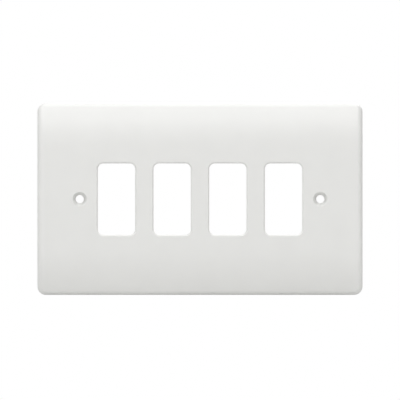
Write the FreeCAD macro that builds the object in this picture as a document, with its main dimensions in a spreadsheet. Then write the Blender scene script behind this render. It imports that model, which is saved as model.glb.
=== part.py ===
import FreeCAD, Part
import math
import os
import Sketcher

# Grid switch plate: a moulded wall plate with a row of apertures for switch modules.
# The front has a flat band in the middle and rolls back towards its top and bottom edges.
# The back is hollow, with a rim that lies on the wall, a collar behind each aperture,
# two screw pillars, upright ribs and the marks of the mould's ejector pins.
# Frame: the origin is the centre of the rim's rear plane, +X is to the right as seen from
# the front, +Z is up and the front faces -Y. All lengths are in millimetres.

NODE = "front_plate"

SIZES = {
    # Row of module apertures
    "module_count": 4,
    "module_pitch": 25.0,
    "aperture_width": 16.7,
    "aperture_height": 32.0,
    "aperture_corner_radius": 2.5,
    "aperture_chamfer": 0.6,
    # Front: the flat band's margin above and below the apertures, then the rolled zone
    "flat_margin": 7.5,
    "roll_height": 19.5,
    "crown_rise": 3.5,
    "edge_depth": 6.0,
    "corner_radius": 3.8,
    "front_edge_radius": 2.5,
    # Screws: from the last aperture's centre line to the screw, and on to the plate's end
    "fixing_offset": 16.5,
    "end_margin": 19.0,
    "screw_hole_diameter": 3.7,
    "countersink_diameter": 6.4,
    "countersink_angle": 60.0,
    # Hollow back: walls, then how far pillars and ribs stay in front of the wall plane
    "face_wall": 2.6,
    "rim_wall": 2.2,
    "cavity_corner_radius": 1.6,
    "cavity_floor_radius": 0.8,
    "collar_wall": 1.3,
    "collar_height": 2.0,
    "pillar_diameter": 8.0,
    "pillar_recess": 2.0,
    "rib_wall": 1.2,
    "rib_recess": 3.0,
    # Ejector marks: from the aperture's edge to the mark's centre
    "ejector_margin": 4.4,
    "ejector_diameter": 4.0,
    "ejector_depth": 0.2,
}

# Sizes that follow from the driving ones, as expressions over the sheet
ROW_LENGTH = "((sizes.module_count - 1) * sizes.module_pitch)"
FIXING_CENTRES = f"({ROW_LENGTH} + 2 * sizes.fixing_offset)"
PLATE_WIDTH = f"({FIXING_CENTRES} + 2 * sizes.end_margin)"
FLAT_HEIGHT = "(sizes.aperture_height + 2 * sizes.flat_margin)"
PLATE_HEIGHT = f"({FLAT_HEIGHT} + 2 * sizes.roll_height)"
PLATE_DEPTH = "(sizes.edge_depth + sizes.crown_rise)"
ROLL_RADIUS = "((sizes.roll_height ^ 2 + sizes.crown_rise ^ 2) / (2 * sizes.crown_rise))"
CAVITY_WIDTH = f"({PLATE_WIDTH} - 2 * sizes.rim_wall)"
CAVITY_HEIGHT = f"({PLATE_HEIGHT} - 2 * sizes.rim_wall)"
CAVITY_DEPTH = f"({PLATE_DEPTH} - sizes.face_wall)"
# What stands on the face's inner side starts inside the wall, half way through it
MID_WALL_DEPTH = f"({PLATE_DEPTH} - sizes.face_wall / 2)"

# How a sketch numbers the points of an element, and its own origin and axes
START, END, CENTRE = range(1, 4)
ROOT = H_AXIS = -1
V_AXIS = H_AXIS - 1

# A face looks forward or back if its normal is within 60 degrees of that direction
FACING = math.cos(math.radians(60))
TOLERANCE = 1e-6

doc = FreeCAD.newDocument("grid_switch_plate")
sheet = doc.addObject("Spreadsheet::Sheet", "sizes")
for row, (alias, number) in enumerate(SIZES.items(), start=1):
    sheet.set(f"A{row}", alias)
    sheet.set(f"B{row}", str(number))
    sheet.setAlias(f"B{row}", alias)
doc.recompute()

body = doc.addObject("PartDesign::Body", NODE)
body.Label = NODE


def size(expression):
    """The value of an expression over the sheet's sizes."""
    return float(sheet.evalExpression(expression))


def origin_feature(role):
    """An origin plane or axis of the body."""
    return next(f for f in body.Origin.OriginFeatures if f.Role == role)


def new_sketch(name, plane, x="0", along_normal="0"):
    """A sketch on an origin plane, shifted along its first axis and along its normal."""
    sketch = body.newObject("Sketcher::SketchObject", name)
    sketch.AttachmentSupport = (origin_feature(plane), [""])
    sketch.MapMode = "FlatFace"
    sketch.setExpression("AttachmentOffset.Base.x", x)
    sketch.setExpression("AttachmentOffset.Base.z", along_normal)
    return sketch


def add_line(sketch, start, end):
    """A straight segment between two points of the sketch plane."""
    return sketch.addGeometry(Part.LineSegment(FreeCAD.Vector(*start), FreeCAD.Vector(*end)))


def add_arc(sketch, centre, radius, first_angle, last_angle):
    """A circular arc, counterclockwise."""
    circle = Part.Circle(FreeCAD.Vector(*centre), FreeCAD.Vector(0, 0, 1), radius)
    return sketch.addGeometry(Part.ArcOfCircle(circle, first_angle, last_angle))


def constrain(sketch, *rules):
    """Add geometric constraints, each given as its kind and what it acts on."""
    for rule in rules:
        sketch.addConstraint(Sketcher.Constraint(*rule))


def dimension(sketch, name, expression, *rule):
    """Add a named dimension that follows an expression over the sheet."""
    index = sketch.addConstraint(Sketcher.Constraint(*rule, size(expression)))
    sketch.renameConstraint(index, name)
    sketch.setExpression(f"Constraints.{name}", expression)


def rolled_section(name, x, rear, height, depth, radius):
    """Side section: a flat front that rolls back, in tangent arcs, to a land at each end."""
    sketch = new_sketch(name, "YZ_Plane", x=f"-{rear}", along_normal=x)
    section_depth = f"({depth} - {rear})"
    half = size(height) / 2
    flat = size(FLAT_HEIGHT) / 2
    front = -size(section_depth)
    roll = size(radius)
    turn = math.asin((half - flat) / roll)
    land = front + roll * (1 - math.cos(turn))

    rear_line = add_line(sketch, (0, -half), (0, half))
    top_land = add_line(sketch, (0, half), (land, half))
    top_arc = add_arc(sketch, (front + roll, flat), roll, math.pi - turn, math.pi)
    front_line = add_line(sketch, (front, flat), (front, -flat))
    low_arc = add_arc(sketch, (front + roll, -flat), roll, math.pi, math.pi + turn)
    low_land = add_line(sketch, (land, -half), (0, -half))
    constrain(
        sketch,
        ("Coincident", rear_line, END, top_land, START),
        ("Coincident", top_land, END, top_arc, START),
        ("Tangent", top_arc, END, front_line, START),
        ("Tangent", front_line, END, low_arc, START),
        ("Coincident", low_arc, END, low_land, START),
        ("Coincident", low_land, END, rear_line, START),
        ("PointOnObject", rear_line, START, V_AXIS),
        ("Symmetric", rear_line, START, rear_line, END, H_AXIS),
        ("Symmetric", front_line, START, front_line, END, H_AXIS),
        ("Horizontal", top_land),
        ("Horizontal", low_land),
        ("Equal", top_arc, low_arc),
    )
    dimension(sketch, "height", height, "DistanceY", rear_line, START, rear_line, END)
    dimension(sketch, "flat", FLAT_HEIGHT, "DistanceY", front_line, END, front_line, START)
    dimension(sketch, "depth", section_depth, "DistanceX", front_line, START, ROOT, START)
    dimension(sketch, "roll", radius, "Radius", top_arc)
    return sketch


def rounded_rectangle(name, depth, width, height, radius):
    """A rectangle with rounded corners around the first aperture's centre, at a depth."""
    sketch = new_sketch(name, "XZ_Plane", x=f"-{ROW_LENGTH} / 2", along_normal=depth)
    corner = size(radius)
    reach_x = size(width) / 2 - corner
    reach_z = size(height) / 2 - corner
    quarter = math.pi / 2
    arcs = []
    for k, (side, rise) in enumerate([(1, 1), (-1, 1), (-1, -1), (1, -1)]):
        centre = (side * reach_x, rise * reach_z)
        arcs.append(add_arc(sketch, centre, corner, k * quarter, (k + 1) * quarter))
    lines = []
    for arc, following in zip(arcs, arcs[1:] + arcs[:1]):
        line = add_line(sketch, sketch.Geometry[arc].EndPoint, sketch.Geometry[following].StartPoint)
        constrain(sketch, ("Tangent", arc, END, line, START))
        constrain(sketch, ("Tangent", line, END, following, START))
        lines.append(line)
    top, left, low, right = lines
    constrain(
        sketch,
        ("Symmetric", top, START, top, END, V_AXIS),
        ("Symmetric", left, START, left, END, H_AXIS),
        ("Horizontal", low),
        ("Vertical", right),
        *[("Equal", arcs[0], arc) for arc in arcs[1:]],
    )
    dimension(sketch, "width", width, "DistanceX", left, START, right, START)
    dimension(sketch, "height", height, "DistanceY", low, START, top, START)
    dimension(sketch, "radius", radius, "Radius", arcs[0])
    return sketch


def twin_circles(name, depth, spread, diameter, x="0", upright=False):
    """Two equal circles at a depth: side by side around a place along X, or one above the other."""
    sketch = new_sketch(name, "XZ_Plane", x=x, along_normal=depth)
    reach = size(spread) / 2
    circles = []
    for side in (-1, 1):
        centre = FreeCAD.Vector(0, side * reach) if upright else FreeCAD.Vector(side * reach, 0)
        circle = Part.Circle(centre, FreeCAD.Vector(0, 0, 1), size(diameter) / 2)
        circles.append(sketch.addGeometry(circle))
    first, second = circles
    along, mirror, distance = (V_AXIS, H_AXIS, "DistanceY") if upright else (H_AXIS, V_AXIS, "DistanceX")
    constrain(
        sketch,
        ("PointOnObject", first, CENTRE, along),
        ("Symmetric", first, CENTRE, second, CENTRE, mirror),
        ("Equal", first, second),
    )
    dimension(sketch, "spread", spread, distance, first, CENTRE, second, CENTRE)
    dimension(sketch, "diameter", diameter, "Diameter", first)
    return sketch


def add_feature(kind, name, sketch, length, side_type="One side"):
    """A pad or pocket of a sketch over a length."""
    feature = body.newObject(f"PartDesign::{kind}", name)
    feature.Profile = sketch
    feature.SideType = side_type
    feature.setExpression("Length", length)
    doc.recompute()
    return feature


def row_pattern(name, originals, length, count):
    """Copies of features, spread evenly over a length along X."""
    pattern = body.newObject("PartDesign::LinearPattern", name)
    pattern.Originals = originals
    pattern.Direction = (origin_feature("X_Axis"), [""])
    pattern.setExpression("Length", length)
    pattern.setExpression("Occurrences", count)
    body.Tip = pattern
    doc.recompute()
    return pattern


def dress_edges(kind, measure, name, edges, expression):
    """A fillet or a chamfer on edges of the solid as it stands."""
    base = body.Tip
    numbers = [n for n, edge in enumerate(base.Shape.Edges, start=1) if any(map(edge.isSame, edges))]
    dressing = body.newObject(f"PartDesign::{kind}", name)
    dressing.Base = (base, [f"Edge{n}" for n in numbers])
    dressing.setExpression(measure, expression)
    doc.recompute()
    return dressing


def round_edges(name, edges, radius):
    """A fillet on edges of the solid as it stands."""
    return dress_edges("Fillet", "Radius", name, edges, radius)


def middle_normal(face):
    """The outward normal in the middle of a face."""
    u_first, u_last, v_first, v_last = face.ParameterRange
    return face.normalAt((u_first + u_last) / 2, (v_first + v_last) / 2)


def corner_edges(width, height):
    """The straight edges along Y at the corners of a rectangle around the origin."""
    found = []
    for edge in body.Tip.Shape.Edges:
        middle = edge.CenterOfGravity
        at_end = math.isclose(abs(middle.x), size(width) / 2, abs_tol=TOLERANCE)
        at_land = math.isclose(abs(middle.z), size(height) / 2, abs_tol=TOLERANCE)
        if at_end and at_land:
            found.append(edge)
    return found


def outline_edges(faces):
    """The edges that bound a group of faces as a whole."""
    edges = [edge for face in faces for edge in face.Edges]
    return [edge for edge in edges if sum(map(edge.isSame, edges)) == 1]


def front_faces():
    """The faces that look forward."""
    return [face for face in body.Tip.Shape.Faces if middle_normal(face).y < -FACING]


def cavity_floor():
    """The faces that look back at the wall from inside the hollow."""
    faces = [face for face in body.Tip.Shape.Faces if middle_normal(face).y > FACING]
    return [face for face in faces if face.BoundBox.YMax < -TOLERANCE]


def aperture_edges():
    """The edges of the openings in the flat band of the front."""
    flat_band = next(face for face in front_faces() if isinstance(face.Surface, Part.Plane))
    openings = [wire for wire in flat_band.Wires if not wire.isSame(flat_band.OuterWire)]
    return [edge for wire in openings for edge in wire.Edges]


# Outer form: the rolled section over the plate's width, with rounded plan corners and front edge
outer_section = rolled_section("outer_section", "0", "0", PLATE_HEIGHT, PLATE_DEPTH, ROLL_RADIUS)
add_feature("Pad", "outer_form", outer_section, PLATE_WIDTH, "Symmetric")
round_edges("plan_corners", corner_edges(PLATE_WIDTH, PLATE_HEIGHT), "sizes.corner_radius")
round_edges("front_edge", outline_edges(front_faces()), "sizes.front_edge_radius")

# Hollow back: the same section, set in by the walls
cavity_section = rolled_section(
    "cavity_section", "0", "0", CAVITY_HEIGHT, CAVITY_DEPTH, f"({ROLL_RADIUS} - sizes.face_wall)"
)
add_feature("Pocket", "cavity", cavity_section, CAVITY_WIDTH, "Symmetric")
round_edges("cavity_corners", corner_edges(CAVITY_WIDTH, CAVITY_HEIGHT), "sizes.cavity_corner_radius")
round_edges("cavity_floor_edge", outline_edges(cavity_floor()), "sizes.cavity_floor_radius")

# Upright ribs: one between each two modules and one through each screw pillar
rib_height = f"({PLATE_HEIGHT} - sizes.rim_wall)"
rib_roll = f"({ROLL_RADIUS} - sizes.face_wall / 2)"
first_gap = f"-({ROW_LENGTH} - sizes.module_pitch) / 2"
for name, x, length, count in (
    ("module_rib", first_gap, f"({ROW_LENGTH} - sizes.module_pitch)", "sizes.module_count - 1"),
    ("pillar_rib", f"-{FIXING_CENTRES} / 2", FIXING_CENTRES, "2"),
):
    section = rolled_section(f"{name}_section", x, "sizes.rib_recess", rib_height, MID_WALL_DEPTH, rib_roll)
    rib = add_feature("Pad", name, section, "sizes.rib_wall", "Symmetric")
    row_pattern(f"{name}s", [rib], length, count)

# Screw pillars
pillar_circles = twin_circles(
    "pillar_circles", "sizes.pillar_recess", FIXING_CENTRES, "sizes.pillar_diameter"
)
add_feature("Pad", "screw_pillars", pillar_circles, f"{MID_WALL_DEPTH} - sizes.pillar_recess")

# Apertures, each with a collar behind it
collar_outline = rounded_rectangle(
    "collar_outline",
    f"({CAVITY_DEPTH} - sizes.collar_height)",
    "(sizes.aperture_width + 2 * sizes.collar_wall)",
    "(sizes.aperture_height + 2 * sizes.collar_wall)",
    "(sizes.aperture_corner_radius + sizes.collar_wall)",
)
collar = add_feature("Pad", "collar", collar_outline, "sizes.collar_height + sizes.face_wall / 2")
aperture_outline = rounded_rectangle(
    "aperture_outline",
    PLATE_DEPTH,
    "sizes.aperture_width",
    "sizes.aperture_height",
    "sizes.aperture_corner_radius",
)
aperture = add_feature("Pocket", "aperture", aperture_outline, PLATE_DEPTH)
row_pattern("apertures", [collar, aperture], ROW_LENGTH, "sizes.module_count")
dress_edges("Chamfer", "Size", "aperture_lead_in", aperture_edges(), "sizes.aperture_chamfer")

# Ejector marks: a shallow disc above and below each aperture, in the face's inner side
mark_circles = twin_circles(
    "mark_circles",
    f"({CAVITY_DEPTH} + sizes.ejector_depth)",
    "(sizes.aperture_height + 2 * sizes.ejector_margin)",
    "sizes.ejector_diameter",
    x=f"-{ROW_LENGTH} / 2",
    upright=True,
)
mark_pair = add_feature("Pocket", "ejector_pair", mark_circles, "sizes.ejector_depth")
row_pattern("ejector_marks", [mark_pair], ROW_LENGTH, "sizes.module_count")

# Countersunk fixing holes
hole_circles = twin_circles("hole_circles", PLATE_DEPTH, FIXING_CENTRES, "sizes.screw_hole_diameter")
holes = body.newObject("PartDesign::Hole", "fixing_holes")
holes.Profile = hole_circles
holes.DepthType = "ThroughAll"
holes.HoleCutType = "Countersink"
holes.HoleCutCustomValues = True
holes.setExpression("Diameter", "sizes.screw_hole_diameter")
holes.setExpression("HoleCutDiameter", "sizes.countersink_diameter")
holes.setExpression("HoleCutCountersinkAngle", "sizes.countersink_angle")
doc.recompute()

# Nothing is written unless every feature and the finished solid are sound
for item in doc.Objects:
    if {"Invalid", "Error"} & set(item.State):
        raise RuntimeError(f"{item.Name} failed: {item.State}")
plate = body.Shape
if plate.isNull() or not plate.isValid() or len(plate.Solids) != 1:
    raise RuntimeError("the plate is not one sound solid")

os.makedirs("parts", exist_ok=True)
plate.exportStep(f"parts/{body.Label}.step")
extents = " x ".join(f"{size(side):g}" for side in (PLATE_WIDTH, PLATE_DEPTH, PLATE_HEIGHT))
print(f"{NODE}: {extents} mm, {plate.Volume:.1f} mm3")
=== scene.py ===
import math

import bmesh
import bpy
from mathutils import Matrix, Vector


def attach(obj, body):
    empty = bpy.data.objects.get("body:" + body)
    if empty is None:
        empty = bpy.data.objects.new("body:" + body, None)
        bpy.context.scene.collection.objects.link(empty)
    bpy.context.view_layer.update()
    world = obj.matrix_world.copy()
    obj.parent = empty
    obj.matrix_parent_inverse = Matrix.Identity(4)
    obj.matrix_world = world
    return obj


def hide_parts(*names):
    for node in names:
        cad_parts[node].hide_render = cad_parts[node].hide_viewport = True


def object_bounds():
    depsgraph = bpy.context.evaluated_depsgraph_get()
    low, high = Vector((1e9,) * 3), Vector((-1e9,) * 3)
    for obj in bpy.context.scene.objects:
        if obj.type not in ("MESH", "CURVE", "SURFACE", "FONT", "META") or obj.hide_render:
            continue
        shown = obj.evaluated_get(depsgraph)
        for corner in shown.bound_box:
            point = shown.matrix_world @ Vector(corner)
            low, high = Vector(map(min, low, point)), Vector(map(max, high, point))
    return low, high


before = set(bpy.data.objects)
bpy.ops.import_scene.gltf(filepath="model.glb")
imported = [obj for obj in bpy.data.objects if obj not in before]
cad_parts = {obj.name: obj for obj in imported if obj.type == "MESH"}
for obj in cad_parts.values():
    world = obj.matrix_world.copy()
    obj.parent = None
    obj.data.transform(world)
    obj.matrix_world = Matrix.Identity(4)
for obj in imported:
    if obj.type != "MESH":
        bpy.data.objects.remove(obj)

# Grid switch plate in white moulded urea, seen straight on against a white ground.
# Metres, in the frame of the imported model: +X right, +Z up, the front faces -Y.

MM = 0.001
cad_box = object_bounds()
PLATE_LOW, PLATE_HIGH = cad_box
PLATE_CENTRE = (PLATE_LOW + PLATE_HIGH) / 2

# Frame of the picture: its width at the plate, and how far the view sits below the plate's centre
PICTURE_WIDTH = 179.6 * MM
VIEW_DROP = 0.4 * MM
CAMERA_DISTANCE = 0.6

# The stage: a floor just under the plate, and lamps round it.
# The floor's level is what the lamps make of it in the picture, and the horizon is the downward slope
# from which a ray of sight counts as looking down on the floor.
FLOOR_SIZE = 6.0
FLOOR_GAP = 2.0 * MM
FLOOR_LEVEL = 0.90
HORIZON = 0.01
LAMP_DISTANCE = 1.2

# How the moulding's outward edges are softened: most of them well, the fine ones only a little.
# Fine are the edges of the front's openings, and those of the shallow marks that the mould leaves.
SHARP_ANGLE = math.radians(35)
EDGE_SOFTENING = 0.25 * MM
FINE_SOFTENING = 0.08 * MM
EDGE_SEGMENTS = 3
FRONT_DEPTH = 1 * MM
MARK_DEPTH = 0.3 * MM
# Narrower faces are slivers of the solid's mesh in round stretches, and bound no edge of the form
SLIVER_WIDTH = 0.1 * MM
MERGE_DISTANCE = 0.001 * MM
FLATNESS = math.radians(0.5)


def linear(hex_colour):
    """An sRGB hex colour as linear red, green, blue and alpha."""
    channels = [int(hex_colour[i:i + 2], 16) / 255 for i in (1, 3, 5)]
    return [c / 12.92 if c <= 0.04045 else ((c + 0.055) / 1.055) ** 2.4 for c in channels] + [1.0]


def add_node(tree, kind, settings=None, inputs=None):
    """Add a node with its settings; an input is a value, or the output socket that feeds it."""
    node = tree.nodes.new(kind)
    for name, value in (settings or {}).items():
        setattr(node, name, value)
    for name, value in (inputs or {}).items():
        if isinstance(value, bpy.types.NodeSocket):
            tree.links.new(value, node.inputs[name])
        else:
            node.inputs[name].default_value = value
    return node


def per_size(size_mm):
    """A texture scale whose features are about that many millimetres across."""
    return 1 / (size_mm * MM)


def moulded_urea():
    """White urea-formaldehyde, pressed in a polished mould: a near neutral white with an even gloss."""
    material = bpy.data.materials.new("white_urea_moulding")
    material.use_nodes = True
    tree = material.node_tree
    tree.nodes.clear()
    place = add_node(tree, "ShaderNodeTexCoord").outputs["Object"]
    # The cellulose filler clouds the colour by a hair, in patches of about a centimetre
    clouding = add_node(
        tree, "ShaderNodeTexNoise", inputs={"Vector": place, "Scale": per_size(11), "Detail": 3}
    ).outputs["Fac"]
    colour = add_node(tree, "ShaderNodeMix", {"data_type": "RGBA"}, {
        "Factor": clouding, "A": linear("#E0E0DE"), "B": linear("#E4E4E2"),
    })
    # The mould's polish varies, so the gloss does
    polish = add_node(
        tree, "ShaderNodeTexNoise", inputs={"Vector": place, "Scale": per_size(4), "Detail": 2}
    ).outputs["Fac"]
    roughness = add_node(
        tree, "ShaderNodeMapRange", inputs={"Value": polish, "To Min": 0.28, "To Max": 0.36}
    ).outputs["Result"]
    # Orange peel: real waves of some tenths of a millimetre, drawn coarser so that they show
    waves = add_node(
        tree, "ShaderNodeTexNoise", inputs={"Vector": place, "Scale": per_size(1.2), "Detail": 1}
    ).outputs["Fac"]
    peel = add_node(
        tree, "ShaderNodeBump", inputs={"Height": waves, "Strength": 0.05, "Distance": 0.05 * MM}
    ).outputs["Normal"]
    shader = add_node(tree, "ShaderNodeBsdfPrincipled", inputs={
        "Base Color": colour.outputs["Result"], "Roughness": roughness, "IOR": 1.55, "Normal": peel,
    })
    add_node(tree, "ShaderNodeOutputMaterial", inputs={"Surface": shader.outputs["BSDF"]})
    return material


def matt_paper():
    """Matt white paper: no gloss, so it holds only the plate's soft shadow."""
    material = bpy.data.materials.new("matt_white_paper")
    material.use_nodes = True
    tree = material.node_tree
    tree.nodes.clear()
    place = add_node(tree, "ShaderNodeTexCoord").outputs["Object"]
    # Its fibres lie in clouds of some millimetres, a hair lighter and darker
    fibres = add_node(
        tree, "ShaderNodeTexNoise", inputs={"Vector": place, "Scale": per_size(6), "Detail": 4}
    ).outputs["Fac"]
    colour = add_node(tree, "ShaderNodeMix", {"data_type": "RGBA"}, {
        "Factor": fibres, "A": linear("#E6E6E5"), "B": linear("#E9E9E8"),
    })
    shader = add_node(tree, "ShaderNodeBsdfDiffuse", inputs={"Color": colour.outputs["Result"]})
    add_node(tree, "ShaderNodeOutputMaterial", inputs={"Surface": shader.outputs["BSDF"]})
    return material


def activate(piece):
    """Select one object and nothing else."""
    bpy.ops.object.select_all(action="DESELECT")
    piece.select_set(True)
    bpy.context.view_layer.objects.active = piece


def is_sharp(edge):
    """Whether an edge of the form turns outwards by more than the sharp angle."""
    widths = [face.calc_area() / edge.calc_length() for face in edge.link_faces]
    return edge.calc_face_angle_signed() > SHARP_ANGLE and min(widths) > SLIVER_WIDTH


def is_fine(edge):
    """Whether an edge lies in the plate's front, or on a wall no higher than a shallow mark."""
    if all(corner.co.y < PLATE_LOW.y + FRONT_DEPTH for corner in edge.verts):
        return True
    for face in edge.link_faces:
        heights = [corner.co.y for corner in face.verts]
        is_wall = abs(face.normal.y) < math.sin(SHARP_ANGLE)
        if is_wall and 0 < max(heights) - min(heights) < MARK_DEPTH:
            return True
    return False


def soften_edges(piece, offset, fine):
    """In edit mode, bevel the fine or the other sharp edges."""
    mesh = bmesh.from_edit_mesh(piece.data)
    for face in mesh.faces:
        face.select = False
    for edge in mesh.edges:
        edge.select = is_sharp(edge) and is_fine(edge) == fine
    bmesh.update_edit_mesh(piece.data)
    bpy.ops.mesh.bevel(offset=offset, segments=EDGE_SEGMENTS, affect="EDGES")


def moulded_plate():
    """The plate: a copy of its solid, with the outward edges softened as in a pressed moulding."""
    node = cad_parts["front_plate"]
    plate = node.copy()
    plate.data = node.data.copy()
    plate.name = plate.data.name = "moulded_plate"
    bpy.context.scene.collection.objects.link(plate)
    activate(plate)
    bpy.ops.mesh.customdata_custom_splitnormals_clear()
    bpy.ops.object.mode_set(mode="EDIT")
    bpy.ops.mesh.select_mode(type="EDGE")
    bpy.ops.mesh.select_all(action="SELECT")
    bpy.ops.mesh.remove_doubles(threshold=MERGE_DISTANCE)
    bpy.ops.mesh.dissolve_limited(angle_limit=FLATNESS)
    soften_edges(plate, EDGE_SOFTENING, fine=False)
    soften_edges(plate, FINE_SOFTENING, fine=True)
    bpy.ops.mesh.select_all(action="SELECT")
    bpy.ops.mesh.quads_convert_to_tris(quad_method="BEAUTY", ngon_method="BEAUTY")
    bpy.ops.mesh.dissolve_degenerate(threshold=MERGE_DISTANCE)
    bpy.ops.object.mode_set(mode="OBJECT")
    bpy.ops.object.shade_smooth_by_angle(angle=SHARP_ANGLE)
    weighting = plate.modifiers.new("even_shading", "WEIGHTED_NORMAL")
    weighting.keep_sharp = True
    bpy.ops.object.modifier_apply(modifier=weighting.name)
    plate.data.materials.clear()
    plate.data.materials.append(moulded_urea())
    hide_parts("front_plate")
    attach(plate, "root")


def floor():
    """A wide floor just under the plate."""
    bpy.ops.object.select_all(action="DESELECT")
    bpy.ops.mesh.primitive_plane_add(size=FLOOR_SIZE, location=(0, 0, PLATE_LOW.z - FLOOR_GAP))
    sheet = bpy.context.object
    sheet.name = "floor"
    bpy.ops.object.transform_apply(location=True)
    sheet.data.materials.append(matt_paper())


def white_surround(level):
    """A white ground for the eye and for reflections, which lights the plate at a lower level."""
    world = bpy.data.worlds.new("white_surround")
    world.use_nodes = True
    tree = world.node_tree
    tree.nodes.clear()
    path = add_node(tree, "ShaderNodeLightPath").outputs
    seen = path["Is Camera Ray"]
    for ray in ("Is Glossy Ray", "Is Transmission Ray"):
        seen = add_node(
            tree, "ShaderNodeMath", {"operation": "MAXIMUM"}, {0: seen, 1: path[ray]}
        ).outputs["Value"]
    # A ray of sight that points down and misses the floor meets the floor's level all the same
    direction = add_node(tree, "ShaderNodeTexCoord").outputs["Generated"]
    rise = add_node(tree, "ShaderNodeSeparateXYZ", inputs={"Vector": direction}).outputs["Z"]
    shown = add_node(tree, "ShaderNodeMapRange", inputs={
        "Value": rise, "From Min": -2 * HORIZON, "From Max": -HORIZON,
        "To Min": FLOOR_LEVEL, "To Max": 1.0,
    }).outputs["Result"]
    strength = add_node(
        tree, "ShaderNodeMapRange", inputs={"Value": seen, "To Min": level, "To Max": shown}
    ).outputs["Result"]
    ground = add_node(
        tree, "ShaderNodeBackground", inputs={"Color": linear("#FFFFFF"), "Strength": strength}
    )
    add_node(tree, "ShaderNodeOutputWorld", inputs={"Surface": ground.outputs["Background"]})
    bpy.context.scene.world = world


def softbox(name, azimuth, elevation, size, level):
    """A square lamp turned to the plate; level is what a white surface facing it would show."""
    lamp = bpy.data.lights.new(name, "AREA")
    lamp.shape = "SQUARE"
    lamp.size = size
    lamp.energy = level * math.pi ** 2 * LAMP_DISTANCE ** 2
    holder = bpy.data.objects.new(name, lamp)
    bpy.context.scene.collection.objects.link(holder)
    turn, rise = math.radians(azimuth), math.radians(elevation)
    across = Vector((math.sin(turn), -math.cos(turn), 0)) * math.cos(rise)
    away = across + Vector((0, 0, math.sin(rise)))
    holder.location = PLATE_CENTRE + away * LAMP_DISTANCE
    holder.rotation_euler = away.to_track_quat("Z", "Y").to_euler()
    holder.visible_camera = False


def camera():
    """Straight on, with parallel rays: the plate's ends show no perspective."""
    lens = bpy.data.cameras.new("camera")
    lens.type = "ORTHO"
    lens.ortho_scale = PICTURE_WIDTH
    holder = bpy.data.objects.new("camera", lens)
    bpy.context.scene.collection.objects.link(holder)
    holder.location = (PLATE_CENTRE.x, PLATE_CENTRE.y - CAMERA_DISTANCE, PLATE_CENTRE.z - VIEW_DROP)
    holder.rotation_euler = (math.pi / 2, 0, 0)
    bpy.context.scene.camera = holder


moulded_plate()
floor()
white_surround(level=0.30)
softbox("key_softbox", azimuth=-12, elevation=55, size=1.6, level=1.09)
softbox("top_softbox", azimuth=-10, elevation=85, size=0.8, level=0.08)
softbox("back_softbox", azimuth=160, elevation=48, size=0.8, level=0.34)
camera()
bpy.context.scene.view_settings.view_transform = "Standard"
